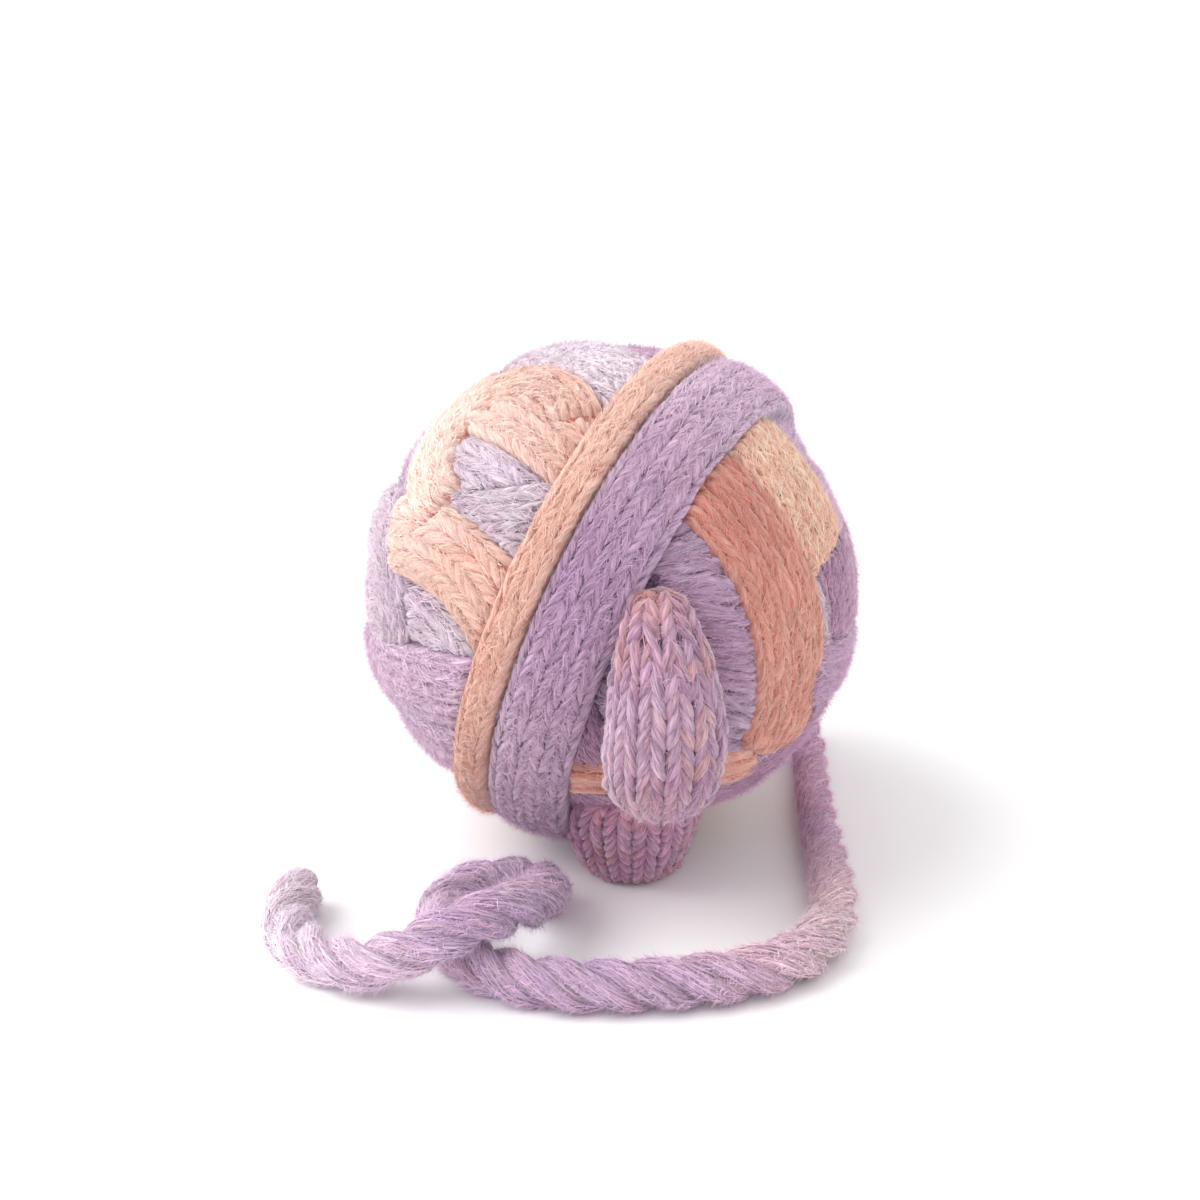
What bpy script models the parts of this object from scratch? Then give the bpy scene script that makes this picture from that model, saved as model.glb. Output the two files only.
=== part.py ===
"""Wound yarn ball toy: a ball wrapped in wide knitted bands, two knitted arms,
two knitted feet that it stands on, and a tail of thick three-strand rope.

Units are metres. +Z is up, the arms and feet point to -Y and +Y, and the rope
comes out of the lower back at +X and +Y and lies on the floor round the front.
"""
import math
from collections import namedtuple

import bmesh
import bpy
import numpy as np
from mathutils import Vector

MM = 0.001

# Driving dimensions, in millimetres unless the name says otherwise
BALL_CENTRE = (-0.17, 0.0, 65.0)
BALL_COLUMNS = 88
ROWS_BELOW = 17
ROWS_ABOVE = 20
ROW_MARGIN = 1.2
LAVENDER_SHARES = (-1.0, -0.9, -0.55, 0.0, 0.55, 0.9)
PEACH_SHARES = (-1.0, -0.75, -0.3, 0.3, 0.75, 1.0)
CORE_RADIUS = 57.0
BAND_THICKNESS = 3.0
BAND_ROUNDNESS = 2.6
ARC_TAPER_DEG = 14.0
ARC_SINK = 4.0
TWIN_SINK = 0.3

FIT_GAP = 0.35
LIP = 0.8
FACET_REACH_DEG = 5.0
REACH_SHARES = (0.5, 1.0)
REACH_STEPS = 8
LEAST_OUT = 5.0
FIT_PASSES = 6

STUB_SIDES = 22
ARM_RINGS = 20
FOOT_RINGS = 20

ROPE_RADIUS = 5.5
ROPE_VALLEY = 4.35
ROPE_SHOULDER = 5.25
ROPE_STRANDS = 3
ROPE_SIDES = 12
ROPE_LAY = 32.0
ROPE_STEP = 3.2
ROPE_REST = 5.55
ROUTE_SAMPLES = 2000

UPRIGHT = np.array((0.0, 0.0, 1.0))
SIDEWAYS = np.array((1.0, 0.0, 0.0))
NEAR_UPRIGHT = 0.9

# Band axes, each the direction that a band is wound round
WRAP_AXIS = (-0.866, 0.375, 0.332)
FACE_AXIS = (-0.762, -0.627, -0.159)
FLANK_AXIS = (-0.332, -0.937, -0.106)
RIM_AXIS = (0.427, -0.904, 0.020)
ARCH_AXIS = (0.447, 0.495, -0.745)
BELT_AXIS = (-0.010, 0.153, 0.988)
LOW_AXIS = (0.030, 0.000, 1.000)
SIDE_AXIS = (-0.425, -0.888, -0.174)
CROWN_AXIS = (0.763, 0.498, 0.413)
NOSE_AXIS = (-0.985, -0.170, -0.022)
UNDER_AXIS = (0.300, 0.200, 0.930)

# One row for each knitted band. Latitude and half width are degrees on the
# ball, measured from the plane square to the axis. Height is the radius of the
# band's crest. Start and end are degrees round the axis. A band with a twin
# comes again on the far side, half a turn round the wrap axis.
Band = namedtuple("Band", "yarn axis latitude half_width height start end twin")
BANDS = (
    Band("peach", WRAP_AXIS, 2.4, 4.3, 62.6, -180, 180, False),
    Band("lavender", WRAP_AXIS, -11.3, 9.2, 62.4, -180, 180, False),
    Band("peach", FLANK_AXIS, 26.8, 11.2, 61.0, -124, -16, True),
    Band("peach", FLANK_AXIS, 8.0, 12.3, 60.4, -80, -26, True),
    Band("lavender", RIM_AXIS, 49.6, 10.8, 60.0, -180, 180, True),
    Band("peach", ARCH_AXIS, -72.0, 7.2, 61.0, -168, 58, True),
    Band("peach", FACE_AXIS, 22.0, 10.2, 59.8, -60, 32, True),
    Band("lavender", FACE_AXIS, 39.5, 8.6, 58.6, -72, 26, True),
    Band("peach", FACE_AXIS, 57.8, 10.6, 60.0, -88, 36, True),
    Band("lavender", FACE_AXIS, 74.0, 8.0, 58.8, -180, 180, True),
    Band("lavender", NOSE_AXIS, 69.4, 9.5, 59.6, -180, 180, True),
    Band("lavender", BELT_AXIS, -15.8, 9.6, 60.8, -48, 255, False),
    Band("lavender", BELT_AXIS, -35.0, 10.6, 59.8, -180, 180, False),
    Band("peach", LOW_AXIS, -27.5, 7.4, 60.3, -114, -40, True),
    Band("lavender", SIDE_AXIS, 35.3, 10.5, 59.4, -118, -30, True),
    Band("lavender", CROWN_AXIS, 18.0, 11.0, 59.4, -180, 180, True),
)
UNDER_BANDS = 9
UNDER_SPACING = 20.0
UNDER_HALF_WIDTH = 10.5
UNDER_HEIGHT = 57.8

# Arm sections from the shoulder down. Height and middle are the section's Z
# and X, out is how far its outer side stands from the ball's middle plane.
Section = namedtuple("Section", "height middle out half_width thickness")
ARM = (
    Section(84.4, 9.3, 58.6, 2.4, 2.0),
    Section(83.0, 9.5, 61.2, 4.9, 5.0),
    Section(79.4, 9.9, 65.4, 7.1, 9.4),
    Section(74.0, 10.4, 68.6, 8.9, 12.0),
    Section(68.3, 10.9, 71.2, 10.3, 14.0),
    Section(61.6, 11.2, 72.7, 11.6, 15.5),
    Section(54.6, 11.3, 73.0, 12.4, 16.0),
    Section(47.2, 11.2, 72.4, 12.3, 16.0),
    Section(41.0, 10.9, 70.8, 11.2, 15.0),
    Section(36.9, 10.7, 68.4, 8.9, 12.0),
    Section(34.4, 10.6, 66.2, 5.9, 7.6),
    Section(33.3, 10.5, 63.8, 2.5, 2.8),
)
# Foot sections from the flat sole up
FOOT = (
    Section(0.0, 4.9, 30.7, 8.7, 17.4),
    Section(0.8, 4.9, 32.3, 10.2, 20.4),
    Section(2.6, 4.9, 34.4, 11.6, 23.0),
    Section(6.4, 4.9, 37.4, 13.0, 25.6),
    Section(12.8, 4.8, 41.9, 14.6, 28.8),
    Section(18.6, 4.7, 45.8, 15.8, 31.6),
    Section(23.0, 4.6, 48.4, 15.6, 31.2),
    Section(26.4, 4.6, 49.6, 13.8, 27.0),
    Section(28.8, 4.6, 49.8, 9.8, 19.0),
    Section(29.8, 4.6, 49.4, 4.6, 9.0),
)

# The rope's route from the ball to its free end: X, Y and Z of its middle
ROPE_ROUTE = (
    (35.4, 43.0, 36.1), (39.3, 47.7, 32.7), (44.0, 52.2, 26.4), (48.6, 55.0, 18.2),
    (52.3, 54.2, 10.9), (54.4, 49.0, 6.9), (55.0, 41.0, 5.7), (54.3, 30.0, ROPE_REST),
    (53.3, 15.0, ROPE_REST), (52.6, 0.0, ROPE_REST), (52.3, -15.0, ROPE_REST),
    (52.2, -30.0, ROPE_REST), (51.7, -45.0, ROPE_REST), (49.8, -58.0, ROPE_REST),
    (45.6, -68.5, ROPE_REST), (38.5, -76.3, ROPE_REST), (28.5, -81.6, ROPE_REST),
    (16.0, -84.8, ROPE_REST), (3.0, -86.4, ROPE_REST), (-9.0, -86.2, ROPE_REST),
    (-20.0, -83.4, ROPE_REST), (-29.8, -76.8, ROPE_REST), (-36.4, -66.4, ROPE_REST),
    (-38.6, -55.0, ROPE_REST), (-35.4, -45.6, ROPE_REST), (-26.8, -41.4, 5.9),
    (-18.0, -45.4, 7.6), (-14.8, -55.0, 10.6), (-18.2, -66.6, 14.6),
    (-26.2, -76.8, 17.0), (-35.4, -82.2, 15.6), (-44.6, -82.9, 11.2),
    (-53.6, -80.6, 7.2), (-62.2, -76.4, 5.7), (-69.4, -69.6, ROPE_REST),
    (-73.4, -60.4, ROPE_REST), (-73.6, -50.4, ROPE_REST), (-71.0, -41.0, ROPE_REST),
)

Yarn = namedtuple("Yarn", "colour roughness")
YARNS = {
    "lavender": Yarn((0.52, 0.38, 0.60), 0.95),
    "peach": Yarn((0.79, 0.44, 0.31), 0.95),
    "variegated": Yarn((0.60, 0.42, 0.58), 0.95),
}


def yarn_material(name):
    """A matt wool material with the yarn's own colour."""
    material = bpy.data.materials.new(name + " yarn")
    material.use_nodes = True
    shader = material.node_tree.nodes["Principled BSDF"]
    shader.inputs["Base Color"].default_value = (*YARNS[name].colour, 1.0)
    shader.inputs["Roughness"].default_value = YARNS[name].roughness
    shader.inputs["Metallic"].default_value = 0.0
    return material


def add_object(name, points, faces, yarn):
    """Make one closed, smooth shaded object from points in millimetres."""
    mesh = bpy.data.meshes.new(name)
    mesh.from_pydata([tuple(value * MM for value in point) for point in points], [], faces)
    body = bmesh.new()
    body.from_mesh(mesh)
    bmesh.ops.recalc_face_normals(body, faces=body.faces)
    if body.calc_volume(signed=True) < 0.0:
        bmesh.ops.reverse_faces(body, faces=body.faces)
    body.to_mesh(mesh)
    body.free()
    mesh.shade_smooth()
    mesh.materials.append(yarn_material(yarn))
    created = bpy.data.objects.new(name, mesh)
    bpy.context.scene.collection.objects.link(created)
    return created


def unit(vector):
    array = np.asarray(vector, float)
    return array / np.linalg.norm(array)


def half_turn(vector, axis):
    """Turn a vector half a turn round an axis."""
    around = unit(axis)
    return 2.0 * around * (around @ vector) - vector


def band_frame(axis):
    """The band's axis and the two directions that its angles are measured in."""
    along = unit(axis)
    reference = UPRIGHT if abs(along @ UPRIGHT) < NEAR_UPRIGHT else SIDEWAYS
    first = unit(reference - along * (reference @ along))
    return along, first, np.cross(along, first)


def list_wraps():
    """Every band of the winding with its directions, the twins among them."""
    wraps = []
    for band in BANDS:
        frame = band_frame(band.axis)
        wraps.append((band, frame))
        if band.twin:
            turned = tuple(half_turn(direction, WRAP_AXIS) for direction in frame)
            wraps.append((band._replace(height=band.height - TWIN_SINK), turned))
    frame = band_frame(UNDER_AXIS)
    for row in range(UNDER_BANDS):
        latitude = (row - (UNDER_BANDS - 1) / 2.0) * UNDER_SPACING
        under = Band("lavender", UNDER_AXIS, latitude, UNDER_HALF_WIDTH, UNDER_HEIGHT, -180, 180, False)
        wraps.append((under, frame))
    return wraps


def winding_radius(directions, wraps):
    """Radius of the wound ball in each direction: the highest band there."""
    radius = np.full(len(directions), CORE_RADIUS)
    for band, (along, first, second) in wraps:
        latitude = np.degrees(np.arcsin(np.clip(directions @ along, -1.0, 1.0)))
        across = np.abs(latitude - band.latitude) / band.half_width
        crown = (1.0 - np.clip(across, 0.0, 1.0) ** BAND_ROUNDNESS) ** (1.0 / BAND_ROUNDNESS)
        height = band.height - BAND_THICKNESS * (1.0 - crown)
        turn = np.degrees(np.arctan2(directions @ second, directions @ first))
        span = band.end - band.start
        reach = (turn - band.start) % 360.0
        if span < 360:
            to_end = np.minimum(reach, span - reach) / ARC_TAPER_DEG
            height = height - ARC_SINK * np.clip(1.0 - to_end, 0.0, 1.0) ** 2
        there = (across < 1.0) & (reach <= span)
        radius = np.where(there, np.maximum(radius, height), radius)
    return radius


def clear_radius(directions, wraps):
    """The winding's largest radius within a facet of each direction, and the gap."""
    largest = winding_radius(directions, wraps)
    side = np.cross(directions, UPRIGHT)
    side /= np.linalg.norm(side, axis=1, keepdims=True)
    other = np.cross(directions, side)
    for share in REACH_SHARES:
        tilt = math.tan(math.radians(FACET_REACH_DEG * share))
        for step in range(REACH_STEPS):
            angle = math.tau * step / REACH_STEPS
            nearby = directions + tilt * (math.cos(angle) * side + math.sin(angle) * other)
            nearby /= np.linalg.norm(nearby, axis=1, keepdims=True)
            largest = np.maximum(largest, winding_radius(nearby, wraps))
    return largest + FIT_GAP


def row_latitudes():
    """Rows of the ball's grid: even ones, and closer ones across the two top bands."""
    peach, lavender = BANDS[0], BANDS[1]
    rows = [lavender.latitude + share * lavender.half_width for share in LAVENDER_SHARES]
    rows += [peach.latitude + share * peach.half_width for share in PEACH_SHARES]
    below = np.linspace(-90.0, rows[0] - ROW_MARGIN, ROWS_BELOW)[1:]
    above = np.linspace(rows[-1] + ROW_MARGIN, 90.0, ROWS_ABOVE)[:-1]
    return np.radians(np.concatenate((below, rows, above)))


def make_ball(wraps):
    """The wound ball: one solid with each band standing on those below it."""
    along, first, second = band_frame(WRAP_AXIS)
    latitudes = row_latitudes()
    turns = math.tau * np.arange(BALL_COLUMNS) / BALL_COLUMNS
    level = np.repeat(latitudes, BALL_COLUMNS)[:, None]
    turn = np.tile(turns, len(latitudes))[:, None]
    ring = np.cos(turn) * first + np.sin(turn) * second
    directions = np.vstack((-along, np.cos(level) * ring + np.sin(level) * along, along))
    radius = winding_radius(directions, wraps)
    points = directions * radius[:, None] + np.array(BALL_CENTRE)
    faces = []
    last = len(directions) - 1
    for step in range(BALL_COLUMNS):
        beside = (step + 1) % BALL_COLUMNS
        faces.append([0, 1 + beside, 1 + step])
        for row in range(len(latitudes) - 1):
            low = 1 + row * BALL_COLUMNS
            high = low + BALL_COLUMNS
            faces.append([low + step, low + beside, high + beside, high + step])
        top = 1 + (len(latitudes) - 1) * BALL_COLUMNS
        faces.append([top + step, top + beside, last])
    return add_object("ball", points, faces, "lavender")


def smooth_sections(rows, count):
    """Sections spaced evenly along a smooth curve through the table's rows."""
    table = np.array(rows)
    gaps = np.linalg.norm(np.diff(table[:, (0, 2, 3)], axis=0), axis=1)
    knots = np.concatenate(((0.0,), np.cumsum(gaps)))
    places = np.linspace(0.0, knots[-1], count)
    columns = [catmull_rom(knots, table[:, column], places) for column in range(table.shape[1])]
    return [Section(*values) for values in zip(*columns)]


def catmull_rom(knots, values, places):
    """Read a smooth curve through values at knots, at each of the places."""
    slopes = np.gradient(values, knots)
    upper = np.clip(np.searchsorted(knots, places, side="right"), 1, len(knots) - 1)
    lower = upper - 1
    width = knots[upper] - knots[lower]
    part = (places - knots[lower]) / width
    start = (1 + 2 * part) * (1 - part) ** 2 * values[lower]
    start_slope = part * (1 - part) ** 2 * width * slopes[lower]
    end = part ** 2 * (3 - 2 * part) * values[upper]
    end_slope = part ** 2 * (part - 1) * width * slopes[upper]
    return start + start_slope + end + end_slope


def ball_face(x, z, guess, wraps):
    """How far the ball, with its gap, reaches along Y at each X and Z; zero where it doesn't."""
    centre = np.array(BALL_CENTRE)
    reach = guess.copy()
    offset = (x - centre[0]) ** 2 + (z - centre[2]) ** 2
    side = np.sign(guess)
    for _ in range(FIT_PASSES):
        directions = np.column_stack((x - centre[0], reach, z - centre[2]))
        directions /= np.linalg.norm(directions, axis=1, keepdims=True)
        inside = clear_radius(directions, wraps) ** 2 - offset
        reach = side * np.sqrt(np.maximum(inside, 1.0))
    return np.where(inside > 0.0, np.abs(reach), 0.0)


def ring_faces(rings, sides, turning=False):
    """The faces of a tube of rings, its two ends closed, split along a turning tube's ridges."""
    faces = []
    for ring in range(rings - 1):
        for step in range(sides):
            beside = (step + 1) % sides
            low = ring * sides
            high = low + sides
            quad = [low + step, low + beside, high + beside, high + step]
            faces += [[quad[0], quad[1], quad[3]], quad[1:]] if turning else [quad]
    faces.append(list(range(sides))[::-1])
    last = (rings - 1) * sides
    faces.append([last + step for step in range(sides)])
    return faces


def make_stub(name, rows, count, side, wraps):
    """A knitted stub lofted through its sections and fitted round the ball."""
    angles = math.tau * np.arange(STUB_SIDES) / STUB_SIDES
    sections = smooth_sections(rows, count)
    x = np.concatenate([s.middle + s.half_width * np.cos(angles) for s in sections])
    z = np.repeat([s.height for s in sections], STUB_SIDES)
    out = np.concatenate([s.out - s.thickness / 2.0 * (1.0 - np.sin(angles)) for s in sections])
    lip = LIP * np.maximum(0.0, np.tile(np.sin(angles), count))
    face = ball_face(x, z, side * np.maximum(out, LEAST_OUT), wraps)
    out = np.where(face > 0.0, np.maximum(out, face + lip), out)
    points = np.column_stack((x, side * out, z))
    return add_object(name, points, ring_faces(count, STUB_SIDES), "variegated")


def even_route(route, step):
    """Points and forward directions every step along a smooth curve through a route."""
    corners = np.array(route)
    gaps = np.linalg.norm(np.diff(corners, axis=0), axis=1)
    knots = np.concatenate(((0.0,), np.cumsum(gaps)))
    fine = np.linspace(0.0, knots[-1], ROUTE_SAMPLES)
    curve = np.column_stack([catmull_rom(knots, corners[:, axis], fine) for axis in range(3)])
    lengths = np.concatenate(((0.0,), np.cumsum(np.linalg.norm(np.diff(curve, axis=0), axis=1))))
    count = round(lengths[-1] / step) + 1
    even = np.linspace(0.0, lengths[-1], count)
    middle = np.column_stack([np.interp(even, lengths, curve[:, axis]) for axis in range(3)])
    ahead = np.gradient(middle, axis=0)
    ahead /= np.linalg.norm(ahead, axis=1, keepdims=True)
    return middle, ahead, even


def strand_radius(step):
    """The rope's outline: a valley between strands, and a crown on each."""
    place = step % (ROPE_SIDES // ROPE_STRANDS)
    return (ROPE_VALLEY, ROPE_SHOULDER, ROPE_RADIUS, ROPE_SHOULDER)[place]


def make_rope():
    """The rope tail: its three strands turn round the route, one turn in each lay."""
    middle, ahead, along = even_route(ROPE_ROUTE, ROPE_STEP)
    across = Vector(UPRIGHT).cross(Vector(ahead[0])).normalized()
    points = []
    for place, forward, distance in zip(middle, ahead, along):
        forward = Vector(forward)
        across = (across - forward * across.dot(forward)).normalized()
        upward = forward.cross(across)
        twist = math.tau * distance / ROPE_LAY
        for step in range(ROPE_SIDES):
            angle = math.tau * step / ROPE_SIDES + twist
            arm = across * math.cos(angle) + upward * math.sin(angle)
            points.append(tuple(Vector(place) + arm * strand_radius(step)))
    faces = ring_faces(len(middle), ROPE_SIDES, turning=True)
    return add_object("tail_rope", points, faces, "variegated")


def main():
    for leftover in list(bpy.data.objects):
        bpy.data.objects.remove(leftover, do_unlink=True)
    wraps = list_wraps()
    make_ball(wraps)
    for word, side in (("left", -1.0), ("right", 1.0)):
        make_stub("arm_" + word, ARM, ARM_RINGS, side, wraps)
        make_stub("foot_" + word, FOOT, FOOT_RINGS, side, wraps)
    make_rope()


main()
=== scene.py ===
"""Looks of the wound yarn ball toy: knitted bands, arms and feet, and a rope tail.

Lengths are millimetres in the tables and functions, and metres in the meshes.
"""
import math
from collections import namedtuple

import bpy
import numpy as np
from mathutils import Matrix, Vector


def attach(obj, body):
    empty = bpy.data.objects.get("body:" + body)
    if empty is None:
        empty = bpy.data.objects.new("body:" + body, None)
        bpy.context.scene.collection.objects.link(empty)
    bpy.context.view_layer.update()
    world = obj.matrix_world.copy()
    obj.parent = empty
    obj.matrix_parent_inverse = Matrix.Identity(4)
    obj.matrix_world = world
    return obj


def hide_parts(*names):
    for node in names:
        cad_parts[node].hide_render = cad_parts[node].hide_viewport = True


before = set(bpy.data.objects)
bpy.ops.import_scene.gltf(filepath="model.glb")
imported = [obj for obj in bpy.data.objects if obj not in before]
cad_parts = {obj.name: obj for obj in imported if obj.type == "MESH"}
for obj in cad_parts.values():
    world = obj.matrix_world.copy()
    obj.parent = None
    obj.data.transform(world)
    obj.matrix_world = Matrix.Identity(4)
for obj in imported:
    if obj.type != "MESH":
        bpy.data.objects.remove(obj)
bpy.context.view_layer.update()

MM = 0.001
SEED = 20417

UPRIGHT = np.array((0.0, 0.0, 1.0))
SIDEWAYS = np.array((1.0, 0.0, 0.0))
NEAR_UPRIGHT = 0.9

# The winding, as in the solids, but with round ends on its short bands
BALL_CENTRE = np.array((-0.17, 0.0, 65.0))
CORE_RADIUS = 57.0
BAND_THICKNESS = 3.0
BAND_ROUNDNESS = 2.6
ARC_TAPER_DEG = 14.0
ARC_ROUND_DEG = 9.0
ARC_SINK = 4.0
TWIN_SINK = 0.3

WRAP_AXIS = (-0.866, 0.375, 0.332)
FACE_AXIS = (-0.762, -0.627, -0.159)
FLANK_AXIS = (-0.332, -0.937, -0.106)
RIM_AXIS = (0.427, -0.904, 0.020)
ARCH_AXIS = (0.447, 0.495, -0.745)
BELT_AXIS = (-0.010, 0.153, 0.988)
LOW_AXIS = (0.030, 0.000, 1.000)
SIDE_AXIS = (-0.425, -0.888, -0.174)
CROWN_AXIS = (0.763, 0.498, 0.413)
NOSE_AXIS = (-0.985, -0.170, -0.022)
UNDER_AXIS = (0.300, 0.200, 0.930)

# How a band is knitted: the width of a column of V stitches, the distance from
# row to row, and the length, width and height of one leg of the V. Slant is the
# share of the half column that a leg crosses. Heading says which way the V
# opens, or 0 where strands cross the whole column one way, and mess how far a
# leg strays.
Stitch = namedtuple("Stitch", "column pitch length width height slant heading mess")
CHAIN = Stitch(4.8, 2.9, 8.2, 2.15, 1.5, 0.98, 1, 0.3)
KNIT = Stitch(4.9, 2.9, 6.6, 2.0, 1.8, 0.94, 1, 0.3)
CHEVRON = Stitch(6.6, 3.4, 8.2, 2.45, 1.9, 0.95, -1, 0.3)
LEAF = Stitch(5.2, 3.5, 9.8, 2.5, 1.9, 0.9, -1, 0.3)
STRANDS = Stitch(4.8, 3.6, 9.5, 2.1, 1.5, 0.8, 1, 0.3)
RIBS = Stitch(4.4, 3.8, 9.0, 2.0, 1.5, 0.7, 1, 0.2)
CORDS = Stitch(4.9, 4.6, 13.0, 3.1, 2.0, 0.5, 1, 0.3)
FEATHER = Stitch(22.0, 2.1, 24.0, 2.4, 2.0, 0.98, 0, 1.9)
LIMB_STITCH = Stitch(5.7, 3.6, 8.2, 2.75, 2.5, 0.92, -1, 0.1)

# Latitude, half width, start and end are degrees about the axis, and height is
# the crest's radius. Twin is the yarn of the same band half a turn round the
# wrap's axis, or nothing. Apricot stands 0.3 mm higher than in the solids, over
# its neighbour's edge.
Band = namedtuple("Band", "yarn stitch axis latitude half_width height start end twin")
BANDS = (
    Band("peach", CHAIN, WRAP_AXIS, 2.4, 4.3, 62.6, -180, 180, ""),
    Band("lavender", KNIT, WRAP_AXIS, -11.3, 9.2, 62.4, -180, 180, ""),
    Band("coral", LEAF, FLANK_AXIS, 26.8, 11.2, 61.0, -124, -16, "coral"),
    Band("apricot", KNIT, FLANK_AXIS, 8.0, 12.3, 60.7, -80, -26, "apricot"),
    Band("violet", RIBS, RIM_AXIS, 49.6, 10.8, 60.0, -180, 180, "violet"),
    Band("blush", STRANDS, ARCH_AXIS, -72.0, 7.2, 61.0, -168, 58, "blush"),
    Band("blush", CHEVRON, FACE_AXIS, 22.0, 10.2, 59.8, -60, 32, "blush"),
    Band("lilac", CHEVRON, FACE_AXIS, 39.5, 8.6, 58.6, -72, 26, "lilac"),
    Band("blush", CHEVRON, FACE_AXIS, 57.8, 10.6, 60.0, -88, 36, "blush"),
    Band("lilac", CHEVRON, FACE_AXIS, 74.0, 8.0, 58.8, -180, 180, "lilac"),
    Band("lilac", KNIT, NOSE_AXIS, 69.4, 9.5, 59.6, -180, 180, "lilac"),
    Band("lavender", RIBS, BELT_AXIS, -15.8, 9.6, 60.8, -48, 255, ""),
    Band("lavender", RIBS, BELT_AXIS, -35.0, 10.6, 59.8, -180, 180, ""),
    Band("coral", CORDS, LOW_AXIS, -27.5, 7.4, 60.3, -114, -40, "coral"),
    Band("lavender", FEATHER, SIDE_AXIS, 35.3, 10.5, 59.4, -118, -30, "lavender"),
    Band("lilac", KNIT, CROWN_AXIS, 18.0, 11.0, 59.4, -180, 180, "lilac"),
)
UNDER_BANDS = 9
UNDER_SPACING = 20.0
UNDER_HALF_WIDTH = 10.5
UNDER_HEIGHT = 57.8

# Sections of the limbs, as in the solids: Z, X, reach from the ball's middle
# plane, and size
Section = namedtuple("Section", "height middle out half_width thickness")
ARM = (
    Section(84.4, 9.3, 58.6, 2.4, 2.0),
    Section(83.0, 9.5, 61.2, 4.9, 5.0),
    Section(79.4, 9.9, 65.4, 7.1, 9.4),
    Section(74.0, 10.4, 68.6, 8.9, 12.0),
    Section(68.3, 10.9, 71.2, 10.3, 14.0),
    Section(61.6, 11.2, 72.7, 11.6, 15.5),
    Section(54.6, 11.3, 73.0, 12.4, 16.0),
    Section(47.2, 11.2, 72.4, 12.3, 16.0),
    Section(41.0, 10.9, 70.8, 11.2, 15.0),
    Section(36.9, 10.7, 68.4, 8.9, 12.0),
    Section(34.4, 10.6, 66.2, 5.9, 7.6),
    Section(33.3, 10.5, 63.8, 2.5, 2.8),
)
FOOT = (
    Section(0.0, 4.9, 30.7, 8.7, 17.4),
    Section(0.8, 4.9, 32.3, 10.2, 20.4),
    Section(2.6, 4.9, 34.4, 11.6, 23.0),
    Section(6.4, 4.9, 37.4, 13.0, 25.6),
    Section(12.8, 4.8, 41.9, 14.6, 28.8),
    Section(18.6, 4.7, 45.8, 15.8, 31.6),
    Section(23.0, 4.6, 48.4, 15.6, 31.2),
    Section(26.4, 4.6, 49.6, 13.8, 27.0),
    Section(28.8, 4.6, 49.8, 9.8, 19.0),
    Section(29.8, 4.6, 49.4, 4.6, 9.0),
)

# The rope's route, as in the solids
ROPE_REST = 5.55
ROPE_ROUTE = (
    (35.4, 43.0, 36.1), (39.3, 47.7, 32.7), (44.0, 52.2, 26.4), (48.6, 55.0, 18.2),
    (52.3, 54.2, 10.9), (54.4, 49.0, 6.9), (55.0, 41.0, 5.7), (54.3, 30.0, ROPE_REST),
    (53.3, 15.0, ROPE_REST), (52.6, 0.0, ROPE_REST), (52.3, -15.0, ROPE_REST),
    (52.2, -30.0, ROPE_REST), (51.7, -45.0, ROPE_REST), (49.8, -58.0, ROPE_REST),
    (45.6, -68.5, ROPE_REST), (38.5, -76.3, ROPE_REST), (28.5, -81.6, ROPE_REST),
    (16.0, -84.8, ROPE_REST), (3.0, -86.4, ROPE_REST), (-9.0, -86.2, ROPE_REST),
    (-20.0, -83.4, ROPE_REST), (-29.8, -76.8, ROPE_REST), (-36.4, -66.4, ROPE_REST),
    (-38.6, -55.0, ROPE_REST), (-35.4, -45.6, ROPE_REST), (-26.8, -41.4, 5.9),
    (-18.0, -45.4, 7.6), (-14.8, -55.0, 10.6), (-18.2, -66.6, 14.6),
    (-26.2, -76.8, 17.0), (-35.4, -82.2, 15.6), (-44.6, -82.9, 11.2),
    (-53.6, -80.6, 7.2), (-62.2, -76.4, 5.7), (-69.4, -69.6, ROPE_REST),
    (-73.4, -60.4, ROPE_REST), (-73.6, -50.4, ROPE_REST), (-71.0, -41.0, ROPE_REST),
)
# The cord's width and one turn of its strands, and each strand's radius,
# distance from the middle and steps across
ROPE_LAY = 32.0
ROPE_STRANDS = 3
STRAND_RADIUS = 3.1
STRAND_OFFSET = 2.4
STRAND_STEPS = 10
# Points that measure the route, and the mm from ring to ring of the strands' skin
ROUTE_STEPS = 4000
ROPE_STEP = 1.3
# How deep this skin lies under its threads, and how dark its painted shade there is
CORE_SINK = 0.12
ROPE_PAINTED_SHADE = 0.8
# How long the rounding of the free end is, and its share of area at the very end
ROPE_TIP = 4.5
TIP_AREA = 0.05
# How thick the rope is drawn, as a share, at places in mm from its root
TAPER_PLACES = (0.0, 75.0, 120.0, 150.0)
TAPER_SHARES = (0.76, 0.78, 0.85, 1.0)
# Threads on the strands: how far each drifts across its strand, how near the
# strand's edges it starts, and how deep it lies
THREADS = 1900
THREAD = Stitch(0.0, 0.0, 15.0, 0.85, 0.36, 0.0, 1, 0.0)
THREAD_DRIFT = -0.30
THREAD_DRIFTS = (0.3, 1.3)
THREAD_EDGE = 0.86
THREAD_SINK = 0.1
# Stray fibres of the rope: the mm round it that carry them, how near a
# strand's edges they stand, and how they lean
ROPE_SURROUND = 42.0
ROPE_FUZZ_EDGE = 0.9
ROPE_LEAN = -0.3
# How far from the free end the last thread and the last stray fibre start
ROPE_END_GAPS = (2.0, 4.0)

# Leg of a stitch: steps along and round it, the share of its width at its
# ends, and how far its foot stands over its head
LEG_STEPS = 5
LEG_SIDES = 4
LEG_POINTS = (LEG_STEPS + 1) * (LEG_SIDES + 1)
END_SHARE = 0.34
LEG_TILT = 0.7
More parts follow.
